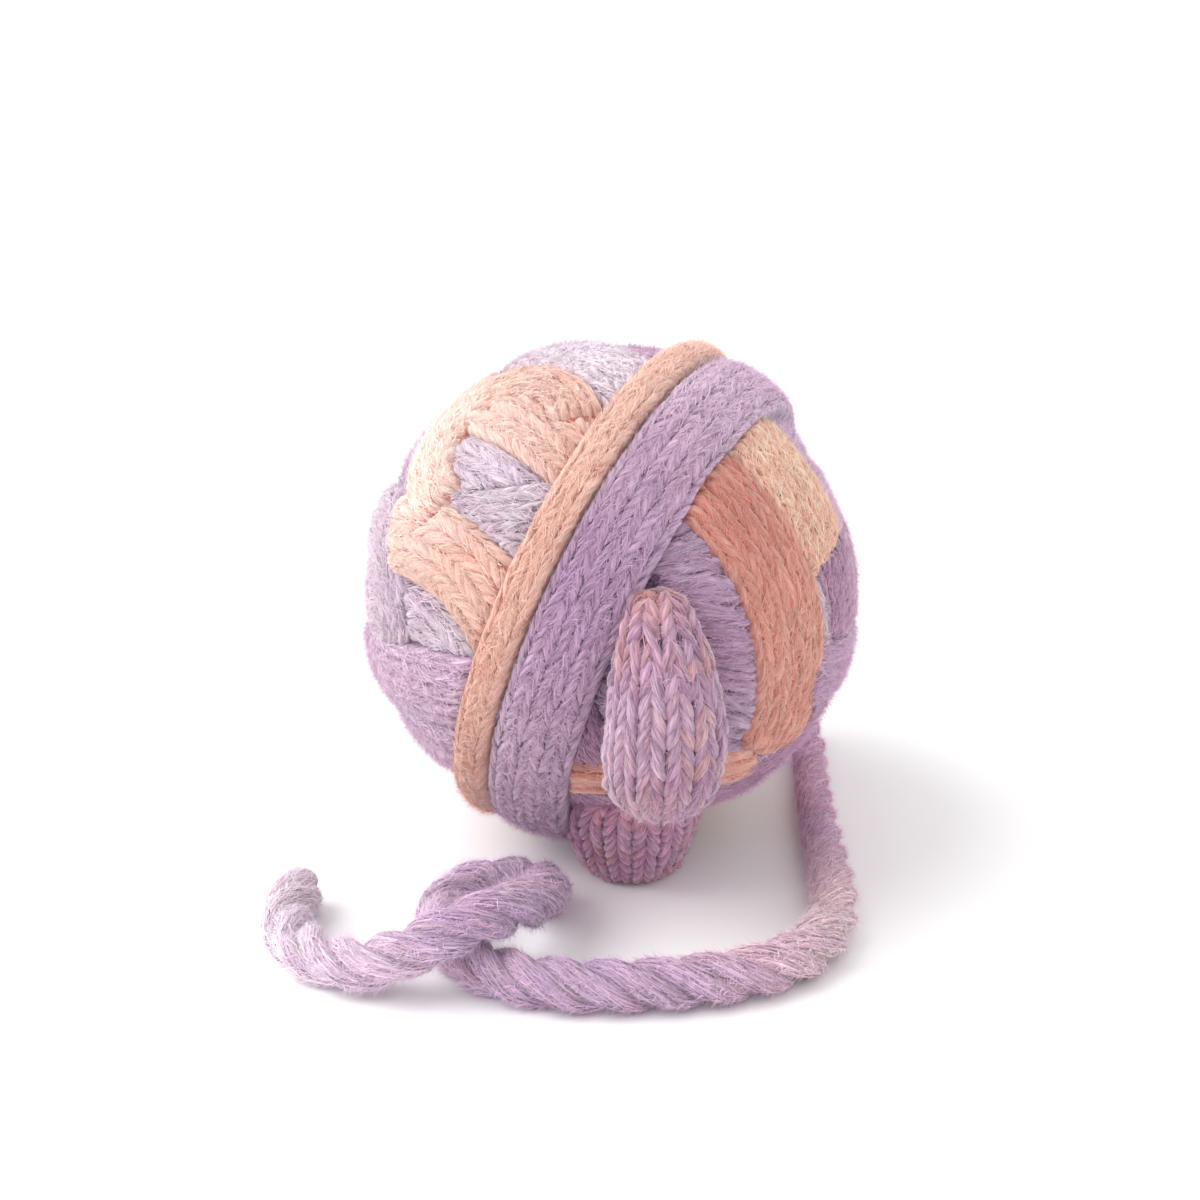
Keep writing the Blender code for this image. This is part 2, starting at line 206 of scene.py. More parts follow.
# How far legs differ in length, and in width and height with their limits
LENGTH_STRAY = 0.06
GIRTH_STRAY = 0.10
WIDTH_LIMITS = (0.7, 1.35)
HEIGHT_LIMITS = (0.7, 1.3)
# The least share of a leg's length that runs along the band, and how much of
# its crossing is eased at both ends
LEAST_RUN = 0.5
EASE = 0.4
# Where on a sine a leg's height and its painted shade start, how much of it
# they take, and how full the curves are
RISE_START = 0.08
RISE_SPAN = 0.84
SHADE_START = 0.1
SHADE_SPAN = 0.8
WIDTH_POWER = 0.7
RISE_POWER = 0.6
SHADE_POWER = 0.5
SIDE_POWER = 0.8
# How far single legs differ in brightness and in their mix of dyes and painted
# light, how wide the streaks on them are, and how far their streaks are moved
LEG_SPREAD = 0.07
LEG_BLEND = 0.3
STREAK_WIDTH = 2.6
STREAK_SHIFT = 90.0

# Shares of a row or column: how far rows and columns stray, half the gap
# between the legs of a V, and half the shift of crossing strands
ROW_STRAY = 0.06
COLUMN_STRAY = 0.04
LEG_GAP = 0.06
STRAND_SHIFT = 0.25
# The sine of the steepest lean of stray fibres, and the share of a band's
# half width that they stand on
STEEPEST = 0.9
FIBRE_EDGE = 0.98

# How deep the felted ground lies under a band's surface, how much deeper the
# stitches start, and how deep a point is tucked where another band covers it
BASE_DROP = 0.95
ROOT_DROP = 0.5
TUCK = 2.2
# The ground's steps along and across a band, its reach past the band's edge,
# and where its streaks are read
STRIP_STEP = 2.4
LEAST_STEPS = 8
STRIP_SIDES = 12
STRIP_REACH = 1.01
STRIP_LABEL = 7.0
# Nothing is drawn lower than this
FLOOR_GAP = 0.05

# Limbs: columns of stitches round them, and which way their V opens
Limb = namedtuple("Limb", "name rows columns heading yarn")
LIMBS = (Limb("arm_", ARM, 12, -1, "limb"), Limb("foot_", FOOT, 14, 1, "foot"))
# Steps of a limb's profile, how near its ends it is read, and how far to each
# side, in turn and in mm, its slope is read
PROFILE_STEPS = 240
PROFILE_EDGE = 0.05
PROBE_TURN = 0.02
PROBE_DOWN = 0.3
# How deep under the ball's surface a limb still shows
LIMB_SEAT = 0.4
# The points of a limb's ground round and down it
LIMB_GROUND = (45, 40)
# Columns are halved below this share of their width, down to the fewest
NARROWEST_COLUMN = 0.68
FEWEST_COLUMNS = 4
# Where a limb's leg starts and ends, as shares of a column, and how far its
# rows stray
LIMB_LEG = (0.07, 0.48)
LIMB_ROW_STRAY = 0.05
# How a limb's stray fibres lean, and how far they stay from its ends
LIMB_LEAN = 0.3
LIMB_END_GAP = 0.5

# Stray fibres: how many on each mm2, how wide, long and raised, how far their
# brightness differs, and how much lighter than their yarn they are painted, as painted light
Fibre = namedtuple("Fibre", "density width length lift spread shade")
HAIR = Fibre(1.25, 0.13, 3.6, 1.0, 0.18, 1.2)
DOWN = Fibre(3.1, 0.10, 2.4, 1.5, 0.14, 1.22)
# The share of these fibres that the limbs carry
LIMB_FUZZ = 0.5
# How far fibres roll about themselves, and how their widths differ
FIBRE_ROLL = 1.3
FIBRE_WIDTHS = (0.7, 1.4)
# Hairs: how far their lengths, leans and bends differ, the middle and spread
# of their rises as shares of their lift, and the limits
HAIR_SPREAD = 0.35
HAIR_LENGTHS = (0.4, 2.2)
HAIR_LEAN = 0.45
HAIR_BEND = 0.35
HAIR_LIFTS = (0.5, 0.6)
HAIR_RISES = (0.05, 2.4)
# A hair's width at its root, bend and tip, and how it rises from one to the next
HAIR_SHARES = (1.0, 0.8, 0.0)
HAIR_STEPS = (0.35, 0.65, 0.0)
# Down: how far its lengths, leans, rises and roots differ
DOWN_LENGTHS = (0.5, 1.5)
DOWN_LEAN = 0.8
DOWN_LEAN_LIMIT = 1.4
DOWN_RISES = (0.2, 1.8)
DOWN_ROOTS = (-0.5, 0.1)

# The photo's view: the place in mm, the tilt, and the lens and sensor in mm
CAMERA_PLACE = (-2.62, -424.1, 215.4)
CAMERA_DOWN_DEG = 20.0
CAMERA_LENS = 55.08
CAMERA_SENSOR = 36.0
CAMERA_CLIP = (0.01, 60.0)

# The floor's half width in metres, and the lights
FLOOR_REACH = 12.0
SURROUND = 1.0
KEY_STRENGTH = 2.2
KEY_SPREAD_DEG = 50.0
KEY_FROM = (-0.70, -0.05, 0.72)

SCREEN_GAMMA = 2.2


def linear(red, green, blue):
    """A colour from its screen values, 0 to 255."""
    return np.array([(value / 255.0) ** SCREEN_GAMMA for value in (red, green, blue)])


Yarn = namedtuple("Yarn", "main second accent slot")
YARNS = {
    "lavender": Yarn(linear(190, 156, 185), linear(202, 175, 199), linear(196, 157, 178), "lavender_yarn"),
    "lilac": Yarn(linear(206, 187, 202), linear(213, 200, 208), linear(209, 178, 192), "lavender_yarn"),
    "violet": Yarn(linear(180, 138, 169), linear(193, 154, 180), linear(171, 128, 165), "lavender_yarn"),
    "peach": Yarn(linear(222, 180, 165), linear(229, 191, 176), linear(216, 157, 141), "peach_yarn"),
    "blush": Yarn(linear(220, 179, 166), linear(226, 192, 180), linear(217, 163, 148), "peach_yarn"),
    "coral": Yarn(linear(220, 162, 148), linear(226, 176, 161), linear(210, 144, 130), "peach_yarn"),
    "apricot": Yarn(linear(244, 201, 180), linear(244, 210, 191), linear(234, 180, 160), "peach_yarn"),
    "limb": Yarn(linear(179, 138, 168), linear(203, 172, 194), linear(208, 154, 146), "variegated_yarn"),
    "foot": Yarn(linear(202, 138, 180), linear(208, 156, 188), linear(212, 144, 156), "variegated_yarn"),
    "rope": Yarn(linear(189, 156, 195), linear(203, 178, 206), linear(222, 178, 194), "variegated_yarn"),
}
# The size in mm of a yarn's patches and accents, and how strong accents get
PATCH_SIZE = 15.0
ACCENT_SIZE = 8.0
ACCENT_SHARE = 0.75
# How many waves add up to the patches, and how fast they turn and saturate
BLOTCH_WAVES = 9
BLOTCH_RATE = 2.4
# How far a piece's brightness may differ, and the lightest a colour gets
SHADE_LIMITS = (0.75, 1.25)
LIGHTEST = 0.98

# Seeds of the colour patches; the ball's go up with the number of the band
Seeds = namedtuple("Seeds", "ground stitches hairs down")
BALL_SEEDS = Seeds(10, 40, 70, 110)
ROPE_SEEDS = Seeds(90, 91, 92, 94)
LIMB_SEEDS = Seeds(3, 5, 6, 8)

# Where a yarn takes another dye, or painted light and shade where marked below:
# the middle and reach of the place, in mm
Dye = namedtuple("Dye", "yarn centre reach colour share")
DYES_AND_PAINTED_LIGHT = (
    Dye("rope", (52.0, 20.0, 12.0), 44.0, linear(238, 186, 214), 0.85),
    # Lighter and pinker at the rope's bend on the right
    Dye("rope", (47.0, -62.0, 5.0), 30.0, linear(255, 218, 222), 0.95),
    # Painted light: the rope's free end is drawn paler, standing in for light there
    Dye("rope", (-70.0, -58.0, 5.0), 40.0, linear(250, 226, 240), 0.95),
    Dye("limb", (9.5, -60.0, 84.0), 6.0, linear(198, 134, 124), 0.7),
    Dye("limb", (9.5, 60.0, 84.0), 5.0, linear(205, 140, 128), 0.6),
    Dye("limb", (10.0, -71.0, 42.0), 7.0, linear(208, 150, 150), 0.45),
    Dye("limb", (10.0, 71.0, 42.0), 7.0, linear(208, 150, 150), 0.45),
    # Painted light: these two are lighter on the upper left and the top, where the light falls
    Dye("blush", (-42.0, -16.0, 106.0), 30.0, linear(248, 228, 218), 0.9),
    Dye("peach", (0.0, -33.0, 116.0), 26.0, linear(234, 198, 184), 0.8),
    # Darker coral at the upper right front
    Dye("coral", (26.0, -42.0, 99.0), 20.0, linear(200, 132, 118), 0.7),
    # Painted light: a pale glow at the top right of the front band
    Dye("lavender", (22.0, -22.0, 117.0), 26.0, linear(212, 186, 206), 0.8),
    # Painted light: lighter on the lower left, where the light falls
    Dye("lavender", (-46.0, -36.0, 48.0), 32.0, linear(222, 196, 214), 0.8),
    # Darker lavender beside the near arm's top
    Dye("lavender", (-8.0, -56.0, 86.0), 22.0, linear(180, 146, 180), 0.7),
    # Painted shade: darker in the hollow between the near arm and the coral band
    Dye("lavender", (28.0, -54.0, 68.0), 15.0, linear(184, 140, 174), 0.5),
    # Painted light: a paler rim at the right outline
    Dye("violet", (60.0, 2.0, 66.0), 27.0, linear(226, 202, 216), 0.8),
    # Painted light: these five are lighter on the left side and the top, where the light falls
    Dye("violet", (-50.0, 8.0, 92.0), 32.0, linear(220, 200, 216), 0.85),
    Dye("violet", (4.0, 24.0, 120.0), 26.0, linear(226, 206, 218), 0.8),
    Dye("lavender", (-54.0, 4.0, 86.0), 26.0, linear(220, 200, 216), 0.8),
    Dye("lavender", (-58.0, -6.0, 48.0), 26.0, linear(220, 198, 214), 0.7),
    Dye("lilac", (-5.0, -12.0, 124.0), 28.0, linear(238, 224, 232), 0.9),
    # Painted shade: darker just above the near arm's top
    Dye("lilac", (13.0, -54.0, 89.0), 15.0, linear(166, 128, 166), 0.85),
)

# How far dark and light fibres part from a yarn's colour, and how dark the painted
# shade in its grooves is, in red, green and blue
Depth = namedtuple("Depth", "dark light groove")
DEPTHS = {
    "lavender_yarn": Depth((0.42, 0.33, 0.42), (1.30, 1.36, 1.30), (0.46, 0.34, 0.46)),
    "peach_yarn": Depth((0.72, 0.48, 0.44), (1.10, 1.26, 1.28), (0.72, 0.40, 0.34)),
    "variegated_yarn": Depth((0.38, 0.29, 0.37), (1.30, 1.36, 1.30), (0.42, 0.30, 0.40)),
}

# Surfaces of the wool, the stray fibres and the floor
WOOL = {"Roughness": 0.92, "Specular IOR Level": 0.15, "Sheen Weight": 0.8, "Sheen Roughness": 0.5}
HAIR_WOOL = {"Roughness": 0.9, "Specular IOR Level": 0.1, "Sheen Weight": 0.6}
FLOOR = {"Base Color": (0.95, 0.95, 0.95, 1.0), "Roughness": 0.9, "Specular IOR Level": 0.0}
# Streaks on the wool: how fast they change across, along and from leg to leg,
# and their detail; then the share of the fine ones, and the relief
Streak = namedtuple("Streak", "scale detail")
FINE_STREAK = Streak((4.0, 0.30, 1.0), 2.0)
BROAD_STREAK = Streak((1.7, 0.16, 1.0), 1.0)
STREAK_NOISE = {"Scale": 1.0, "Roughness": 0.6, "Distortion": 0.25}
FINE_SHARE = 0.65
STREAK_LIMITS = {"From Min": 0.32, "From Max": 0.68}
RELIEF = {"Strength": 0.8, "Distance": 0.5 * MM}


def unit(vector):
    array = np.asarray(vector, float)
    return array / np.linalg.norm(array)


def unit_rows(vectors):
    return vectors / np.maximum(np.linalg.norm(vectors, axis=1, keepdims=True), 1e-12)


def half_turn(vector, axis):
    around = unit(axis)
    return 2.0 * around * (around @ vector) - vector


def band_frame(axis):
    along = unit(axis)
    reference = UPRIGHT if abs(along[2]) < NEAR_UPRIGHT else SIDEWAYS
    first = unit(reference - along * (reference @ along))
    return along, first, np.cross(along, first)


def list_wraps():
    """Every band of the winding with its directions, the twins among them."""
    wraps = []
    for band in BANDS:
        directions = band_frame(band.axis)
        wraps.append((band, directions))
        if band.twin:
            turned = tuple(half_turn(direction, WRAP_AXIS) for direction in directions)
            twin = band._replace(yarn=band.twin, height=band.height - TWIN_SINK)
            wraps.append((twin, turned))
    directions = band_frame(UNDER_AXIS)
    for row in range(UNDER_BANDS):
        latitude = (row - (UNDER_BANDS - 1) / 2.0) * UNDER_SPACING
        wraps.append((Band("lavender", RIBS, UNDER_AXIS, latitude, UNDER_HALF_WIDTH, UNDER_HEIGHT,
                           -180, 180, ""), directions))
    return wraps


def band_height(band, latitude, turn):
    """The band's radius at each latitude and turn in degrees, and where it lies at all."""
    across = np.abs(latitude - band.latitude) / band.half_width
    crown = (1.0 - np.clip(across, 0.0, 1.0) ** BAND_ROUNDNESS) ** (1.0 / BAND_ROUNDNESS)
    height = band.height - BAND_THICKNESS * (1.0 - crown)
    if band.axis is UNDER_AXIS:
        height = np.maximum(height, CORE_RADIUS)
    span = band.end - band.start
    reach = (turn - band.start) % 360.0
    there = (across < 1.0) & (reach <= span)
    if span < 360:
        to_end = np.minimum(reach, span - reach)
        height = height - ARC_SINK * np.clip(1.0 - to_end / ARC_TAPER_DEG, 0.0, 1.0) ** 2
        there &= across ** 2 < 1.0 - np.clip(1.0 - to_end / ARC_ROUND_DEG, 0.0, 1.0) ** 2
    return height, there


def highest(directions, wraps, leave_out=-1):
    """The winding's radius in each direction, without one of its bands."""
    radius = np.full(len(directions), CORE_RADIUS)
    for place, (band, (along, first, second)) in enumerate(wraps):
        if place == leave_out:
            continue
        latitude = np.degrees(np.arcsin(np.clip(directions @ along, -1.0, 1.0)))
        turn = np.degrees(np.arctan2(directions @ second, directions @ first))
        height, there = band_height(band, latitude, turn)
        radius = np.where(there, np.maximum(radius, height), radius)
    return radius


def catmull_rom(knots, values, places):
    """Read a smooth curve through values at knots, at each of the places."""
    slopes = np.gradient(values, knots)
    upper = np.clip(np.searchsorted(knots, places, side="right"), 1, len(knots) - 1)
    lower = upper - 1
    width = knots[upper] - knots[lower]
    part = (places - knots[lower]) / width
    start = (1 + 2 * part) * (1 - part) ** 2 * values[lower]
    start_slope = part * (1 - part) ** 2 * width * slopes[lower]
    end = part ** 2 * (3 - 2 * part) * values[upper]
    end_slope = part ** 2 * (part - 1) * width * slopes[upper]
    return start + start_slope + end + end_slope


def blotch(points, size, seed):
    """Smooth values from 0 to 1 in patches of about that size."""
    draw = np.random.default_rng(seed)
    total = np.zeros(len(points))
    for _ in range(BLOTCH_WAVES):
        wave = draw.normal(size=3) * BLOTCH_RATE / size
        total += np.sin(points @ wave + draw.uniform(0.0, math.tau))
    return 0.5 + 0.5 * np.tanh(total / BLOTCH_RATE)


class WrapSurface:
    """The top of one band: places are mm along it, mm across it and mm above it."""

    handed = 1

    def __init__(self, wraps, place):
        self.wraps = wraps
        self.place = place
        self.band, self.directions = wraps[place]
        self.ring = self.band.height * math.cos(math.radians(self.band.latitude))
        self.span = math.radians(self.band.end - self.band.start) * self.ring
        self.half = math.radians(self.band.half_width) * self.band.height

    def points(self, along, across, lift):
        band = self.band
        axis, first, second = self.directions
        latitude = band.latitude + np.degrees(across / band.height)
        turn = band.start + np.degrees(along / self.ring)
        level = np.radians(latitude)[:, None]
        angle = np.radians(turn)[:, None]
        towards = np.cos(level) * (np.cos(angle) * first + np.sin(angle) * second) + np.sin(level) * axis
        height, there = band_height(band, latitude, turn)
        over = highest(towards, self.wraps, self.place)
        hidden = (over > height) | ~there
        radius = np.where(hidden, np.minimum(height, over) - TUCK, height + lift)
        return BALL_CENTRE + towards * radius[:, None], hidden


class StubSurface:
    """A knitted stub: places are mm down its profile, mm round it and mm above it."""

    def __init__(self, rows, side, wraps):
        table = np.array(rows)
        gaps = np.linalg.norm(np.diff(table[:, (0, 2, 3)], axis=0), axis=1)
        knots = np.concatenate(((0.0,), np.cumsum(gaps)))
        self.fine = np.linspace(0.0, knots[-1], PROFILE_STEPS)
        self.columns = [catmull_rom(knots, table[:, k], self.fine) for k in range(table.shape[1])]
        self.length = knots[-1]
        self.side = side
        self.wraps = wraps
        self.handed = side if rows[0].height > rows[-1].height else -side
        wide, thick = self.columns[3], self.columns[4] / 2.0
        mixed = np.sqrt((3.0 * wide + thick) * (wide + 3.0 * thick))
        self.girths = math.pi * (3.0 * (wide + thick) - mixed)

    def radius(self, along):
        """The radius of a circle as long as the way round the stub there."""
        return np.interp(along, self.fine, self.girths) / math.tau

    def shape(self, down, angle):
        height, middle, out, half_width, thickness = (
            np.interp(down, self.fine, column) for column in self.columns)
        y = out - thickness / 2.0 * (1.0 - np.sin(angle))
        return np.column_stack((middle + half_width * np.cos(angle), self.side * y, height))

    def points(self, along, across, lift, radius):
        angle = math.pi / 2.0 + across / radius
        along = np.clip(along, PROFILE_EDGE, self.length - PROFILE_EDGE)
        here = self.shape(along, angle)
        round_it = self.shape(along, angle + PROBE_TURN) - self.shape(along, angle - PROBE_TURN)
        down_it = self.shape(along + PROBE_DOWN, angle) - self.shape(along - PROBE_DOWN, angle)
        normal = unit_rows(np.cross(round_it, down_it))
        front = np.zeros(len(angle))
        core = self.shape(along, front) * 0.5 + self.shape(along, front + math.pi) * 0.5
        normal *= np.sign(np.sum(normal * (here - core), axis=1, keepdims=True) + 1e-9)
        placed = here + normal * lift[:, None]
        towards = placed - BALL_CENTRE
        distance = np.linalg.norm(towards, axis=1)
        hidden = distance < highest(towards / distance[:, None], self.wraps) - LIMB_SEAT
        hidden |= placed[:, 2] < 0.0
        placed[:, 2] = np.maximum(placed[:, 2], FLOOR_GAP)
        return placed, hidden


class RopeSurface:
    """The rope's strands: places are mm along it, mm across a strand and mm above it."""

    handed = -1

    def __init__(self, route):
        corners = np.array(route)
        gaps = np.linalg.norm(np.diff(corners, axis=0), axis=1)
        knots = np.concatenate(((0.0,), np.cumsum(gaps)))
        places = np.linspace(0.0, knots[-1], ROUTE_STEPS)
        curve = np.column_stack([catmull_rom(knots, corners[:, k], places) for k in range(3)])
        steps = np.linalg.norm(np.diff(curve, axis=0), axis=1)
        lengths = np.concatenate(((0.0,), np.cumsum(steps)))
        self.length = lengths[-1]
        self.along = np.linspace(0.0, self.length, round(self.length / ROPE_STEP) + 1)
        self.middle = np.column_stack([np.interp(self.along, lengths, curve[:, k]) for k in range(3)])
        ahead = unit_rows(np.gradient(self.middle, axis=0))
        side = unit(np.cross(UPRIGHT, ahead[0]))
        sides = []
        for forward in ahead:
            side = unit(side - forward * (side @ forward))
            sides.append(side)
        self.side = np.array(sides)
        self.up = np.cross(ahead, self.side)

    def read(self, rows, along):
        return np.column_stack([np.interp(along, self.along, rows[:, k]) for k in range(3)])

    def points(self, along, across, lift, strand):
        middle, side, up = (self.read(rows, along) for rows in (self.middle, self.side, self.up))
        near_tip = np.clip((self.length - along) / ROPE_TIP, 0.0, 1.0)
        share = np.interp(along, TAPER_PLACES, TAPER_SHARES)
        # Where the rope is thinner it lies on the floor all the same
        middle[:, 2] -= (1.0 - share) * ROPE_REST
        shrink = (share * np.sqrt(np.clip(1.0 - (1.0 - near_tip) ** 2, TIP_AREA, 1.0)))[:, None]
        angle = math.tau * (along / ROPE_LAY + strand / ROPE_STRANDS)
        beta = across / STRAND_RADIUS
        centre = side * np.cos(angle)[:, None] + up * np.sin(angle)[:, None]
        outward = side * np.cos(angle + beta)[:, None] + up * np.sin(angle + beta)[:, None]
        placed = middle + shrink * (STRAND_OFFSET * centre + (STRAND_RADIUS + lift)[:, None] * outward)
        placed[:, 2] = np.maximum(placed[:, 2], FLOOR_GAP)
        return placed, np.zeros(len(placed), bool)


def new_mesh(name, points, faces, tone, fibre, material):
    """A smooth mesh object with its colours and its fibre directions, from arrays."""
    faces = [part for part in faces if len(part)]
    loops = np.concatenate([part.ravel() for part in faces]).astype(np.int32)
    sizes = np.concatenate([np.full(len(part), part.shape[1]) for part in faces])
    starts = np.concatenate(((0,), np.cumsum(sizes)[:-1])).astype(np.int32)
    mesh = bpy.data.meshes.new(name)
    mesh.vertices.add(len(points))
    mesh.vertices.foreach_set("co", (points * MM).astype(np.float32).ravel())
    mesh.loops.add(len(loops))
    mesh.loops.foreach_set("vertex_index", loops)
    mesh.polygons.add(len(sizes))
    mesh.polygons.foreach_set("loop_start", starts)
    mesh.update(calc_edges=True)
    mesh.shade_smooth()
    colours = mesh.attributes.new("tone", "FLOAT_COLOR", "POINT")
    opaque = np.column_stack((tone, np.ones(len(tone))))
    colours.data.foreach_set("color", opaque.astype(np.float32).ravel())
    flow = mesh.attributes.new("fibre", "FLOAT_VECTOR", "POINT")
    flow.data.foreach_set("vector", fibre.astype(np.float32).ravel())
    mesh.materials.append(material)
    made = bpy.data.objects.new(name, mesh)
    bpy.context.scene.collection.objects.link(made)
    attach(made, "root")
    return made


class Heap:
    """Points, faces and colours of many small pieces, gathered into one mesh."""

    def __init__(self):
        self.points, self.faces, self.tone, self.fibre, self.size = [], [], [], [], 0

    def add(self, points, faces, tone, fibre):
        self.points.append(points)
        self.faces += [part + self.size for part in faces if len(part)]
        self.tone.append(tone)
        self.fibre.append(fibre)
        self.size += len(points)

    def mesh(self, name, material, slot):
        made = new_mesh(name, np.vstack(self.points), self.faces, np.vstack(self.tone),
                        np.vstack(self.fibre), material)
        return made


def yarn_tone(yarn, points, draw, seed, spread, blend=0.0):
    """A colour for each point's piece of yarn: patches, dyes, painted light and shade, and a little of its
    own.

    The accent shows only where its patches are over two thirds.
    """
    colours = YARNS[yarn]
    own = blend * draw.normal(size=(len(points), 1))
    patch = np.clip(blotch(points, PATCH_SIZE, seed)[:, None] + own, 0.0, 1.0)
    spot = np.clip(3.0 * blotch(points, ACCENT_SIZE, seed + 1)[:, None] - 2.0 + own, 0.0, 1.0)
    shade = 1.0 + spread * draw.normal(size=(len(points), 1))
    tone = colours.main * (1.0 - patch) + colours.second * patch
    tone = tone * (1.0 - ACCENT_SHARE * spot) + ACCENT_SHARE * spot * colours.accent
    # Dyes, and painted light and shade, each fading out from its middle
    for dye_and_light in DYES_AND_PAINTED_LIGHT:
        if dye_and_light.yarn == yarn:
            distance = np.linalg.norm(points - np.array(dye_and_light.centre), axis=1, keepdims=True)
            share = dye_and_light.share * np.exp(-(distance / dye_and_light.reach) ** 2)
            share = np.clip(share * (1.0 + own), 0.0, 1.0)
            tone = tone * (1.0 - share) + dye_and_light.colour * share
    return np.clip(tone * np.clip(shade, *SHADE_LIMITS), 0.0, LIGHTEST)


def shape_legs(along, start, end, heading, stitch, draw):
    """A grid of places for each leg, which makes it a raised half tube, narrow at both ends."""
    count = len(along)
    length = stitch.length * (1.0 + LENGTH_STRAY * draw.normal(size=count))
    width = stitch.width * (1.0 + GIRTH_STRAY * draw.normal(size=count)).clip(*WIDTH_LIMITS)
    height = stitch.height * (1.0 + GIRTH_STRAY * draw.normal(size=count)).clip(*HEIGHT_LIMITS)
    stray = stitch.mess * draw.normal(size=(2, count))
    start, end = start + stray[0], end + stray[1]
    crossing = end - start
    run = np.sqrt(np.maximum(length ** 2 - crossing ** 2, (LEAST_RUN * length) ** 2)) * heading
    part = np.linspace(0.0, 1.0, LEG_STEPS + 1)[None, :, None]
    turn = np.linspace(0.0, math.pi, LEG_SIDES + 1)[None, None, :]
    column = (slice(None), None, None)
    ease = (1.0 - EASE) * part + EASE * part * part * (3.0 - 2.0 * part)
    reach = np.hypot(run, crossing)[column]
    fullness = END_SHARE + (1.0 - END_SHARE) * np.sin(math.pi * part) ** WIDTH_POWER
    half = width[column] / 2.0 * fullness
    a = along[column] + run[column] * (part - 0.5) - half * np.cos(turn) * crossing[column] / reach
    b = start[column] + crossing[column] * ease + half * np.cos(turn) * run[column] / reach
    arch = np.sin(math.pi * (RISE_START + RISE_SPAN * part)) ** RISE_POWER
    rise = height[column] * arch * np.sin(turn)
    lift = rise + LEG_TILT * (0.5 - part) - BASE_DROP - ROOT_DROP
    # Painted shade: each leg keeps its full colour on top and darkens towards its sides and ends
    crest = np.sin(math.pi * (SHADE_START + SHADE_SPAN * part)) ** SHADE_POWER * np.sin(turn) ** SIDE_POWER
    across = half * (turn / math.pi - 0.5) * STREAK_WIDTH
    down = np.broadcast_to(part * length[column], a.shape)
    return [values.reshape(count, LEG_POINTS) for values in (a, b, lift, across, down)], crest.ravel()


def lay_legs(heap, surface, yarn, along, start, end, heading, stitch, draw, seed, extra=()):
    """Raise one leg of yarn on the surface for each place along it, from start to end across it."""
    grids, crest = shape_legs(along, start, end, heading, stitch, draw)
    a, b, lift, across, down = grids
    more = [np.repeat(value, LEG_POINTS) for value in extra]
    points, hidden = surface.points(a.ravel(), b.ravel(), lift.ravel(), *more)
    seen = ~hidden.reshape(a.shape).all(axis=1)
    points = points.reshape(len(along), LEG_POINTS, 3)[seen]
    if not len(points):
        return
    quads = grid_quads(np.arange(LEG_POINTS).reshape(LEG_STEPS + 1, LEG_SIDES + 1))
    if surface.handed > 0:
        quads = quads[:, ::-1]
    faces = np.arange(len(points))[:, None, None] * LEG_POINTS + quads[None]
    tone = yarn_tone(yarn, points[:, LEG_POINTS // 2], draw, seed, LEG_SPREAD, LEG_BLEND)
    # Painted shade in the creases between legs: how dark, in red, green and blue
    painted_crease_shade = np.array(DEPTHS[YARNS[yarn].slot].groove)
    crest = np.tile(crest, len(points))[:, None]
    tone = np.repeat(tone, LEG_POINTS, axis=0) * (painted_crease_shade + (1.0 - painted_crease_shade) * crest)
    label = np.repeat(draw.uniform(0.0, STREAK_SHIFT, len(points))[:, None], LEG_POINTS, axis=1)
    fibre = np.stack((across[seen], down[seen], label), axis=-1).reshape(-1, 3)
    heap.add(points.reshape(-1, 3), [faces.reshape(-1, 4)], tone, fibre)


def lay_hairs(heap, surface, yarn, along, across, slant, draw, seed, extra=()):
    """Stand fine stray fibres on the surface, each a narrow bent strip."""
    count = len(along)
    length = HAIR.length * draw.lognormal(0.0, HAIR_SPREAD, count).clip(*HAIR_LENGTHS)
    angle = slant + draw.normal(0.0, HAIR_LEAN, count)
    bend = angle + draw.normal(0.0, HAIR_BEND, count)
    rise = np.abs(draw.normal(HAIR.lift * HAIR_LIFTS[0], HAIR.lift * HAIR_LIFTS[1], count)).clip(*HAIR_RISES)
    roll = draw.uniform(-FIBRE_ROLL, FIBRE_ROLL, count)
    half = HAIR.width / 2.0 * draw.uniform(*FIBRE_WIDTHS, count)
    spots = []
    a, b, h = along.copy(), across.copy(), np.zeros(count)
    for direction, share, step in zip((angle, bend, bend), HAIR_SHARES, HAIR_STEPS):
        wide_a = -np.sin(direction) * np.cos(roll) * half * share
        wide_b = np.cos(direction) * np.cos(roll) * half * share
        wide_h = np.sin(roll) * half * share
        spots.append((a - wide_a, b - wide_b, h - wide_h))
        if share:
            spots.append((a + wide_a, b + wide_b, h + wide_h))
        a = a + np.cos(direction) * length / 2.0
        b = b + np.sin(direction) * length / 2.0
        h = h + rise * step
    faces = (np.array((0, 1, 3, 2)), np.array((2, 3, 4)))
    plant(heap, surface, yarn, spots, faces, HAIR, draw, seed, extra)


def lay_down(heap, surface, yarn, along, across, slant, draw, seed, extra=()):
    """Stand short soft fibres on the surface, each one thin triangle."""
    count = len(along)
    length = DOWN.length * draw.uniform(*DOWN_LENGTHS, count)
    angle = slant + draw.normal(0.0, DOWN_LEAN, count)
    angle = np.clip(angle, -DOWN_LEAN_LIMIT, DOWN_LEAN_LIMIT)
    rise = DOWN.lift * draw.uniform(*DOWN_RISES, count)
    roll = draw.uniform(-FIBRE_ROLL, FIBRE_ROLL, count)
    half = DOWN.width / 2.0 * draw.uniform(*FIBRE_WIDTHS, count)
    wide_a = -np.sin(angle) * np.cos(roll) * half
    wide_b = np.cos(angle) * np.cos(roll) * half
    wide_h = np.sin(roll) * half
    root = draw.uniform(*DOWN_ROOTS, count)
    tip = (along + np.cos(angle) * length, across + np.sin(angle) * length, root + rise)
    spots = [(along - wide_a, across - wide_b, root - wide_h),
             (along + wide_a, across + wide_b, root + wide_h), tip]
    plant(heap, surface, yarn, spots, (np.array((0, 1, 2)),), DOWN, draw, seed, extra)


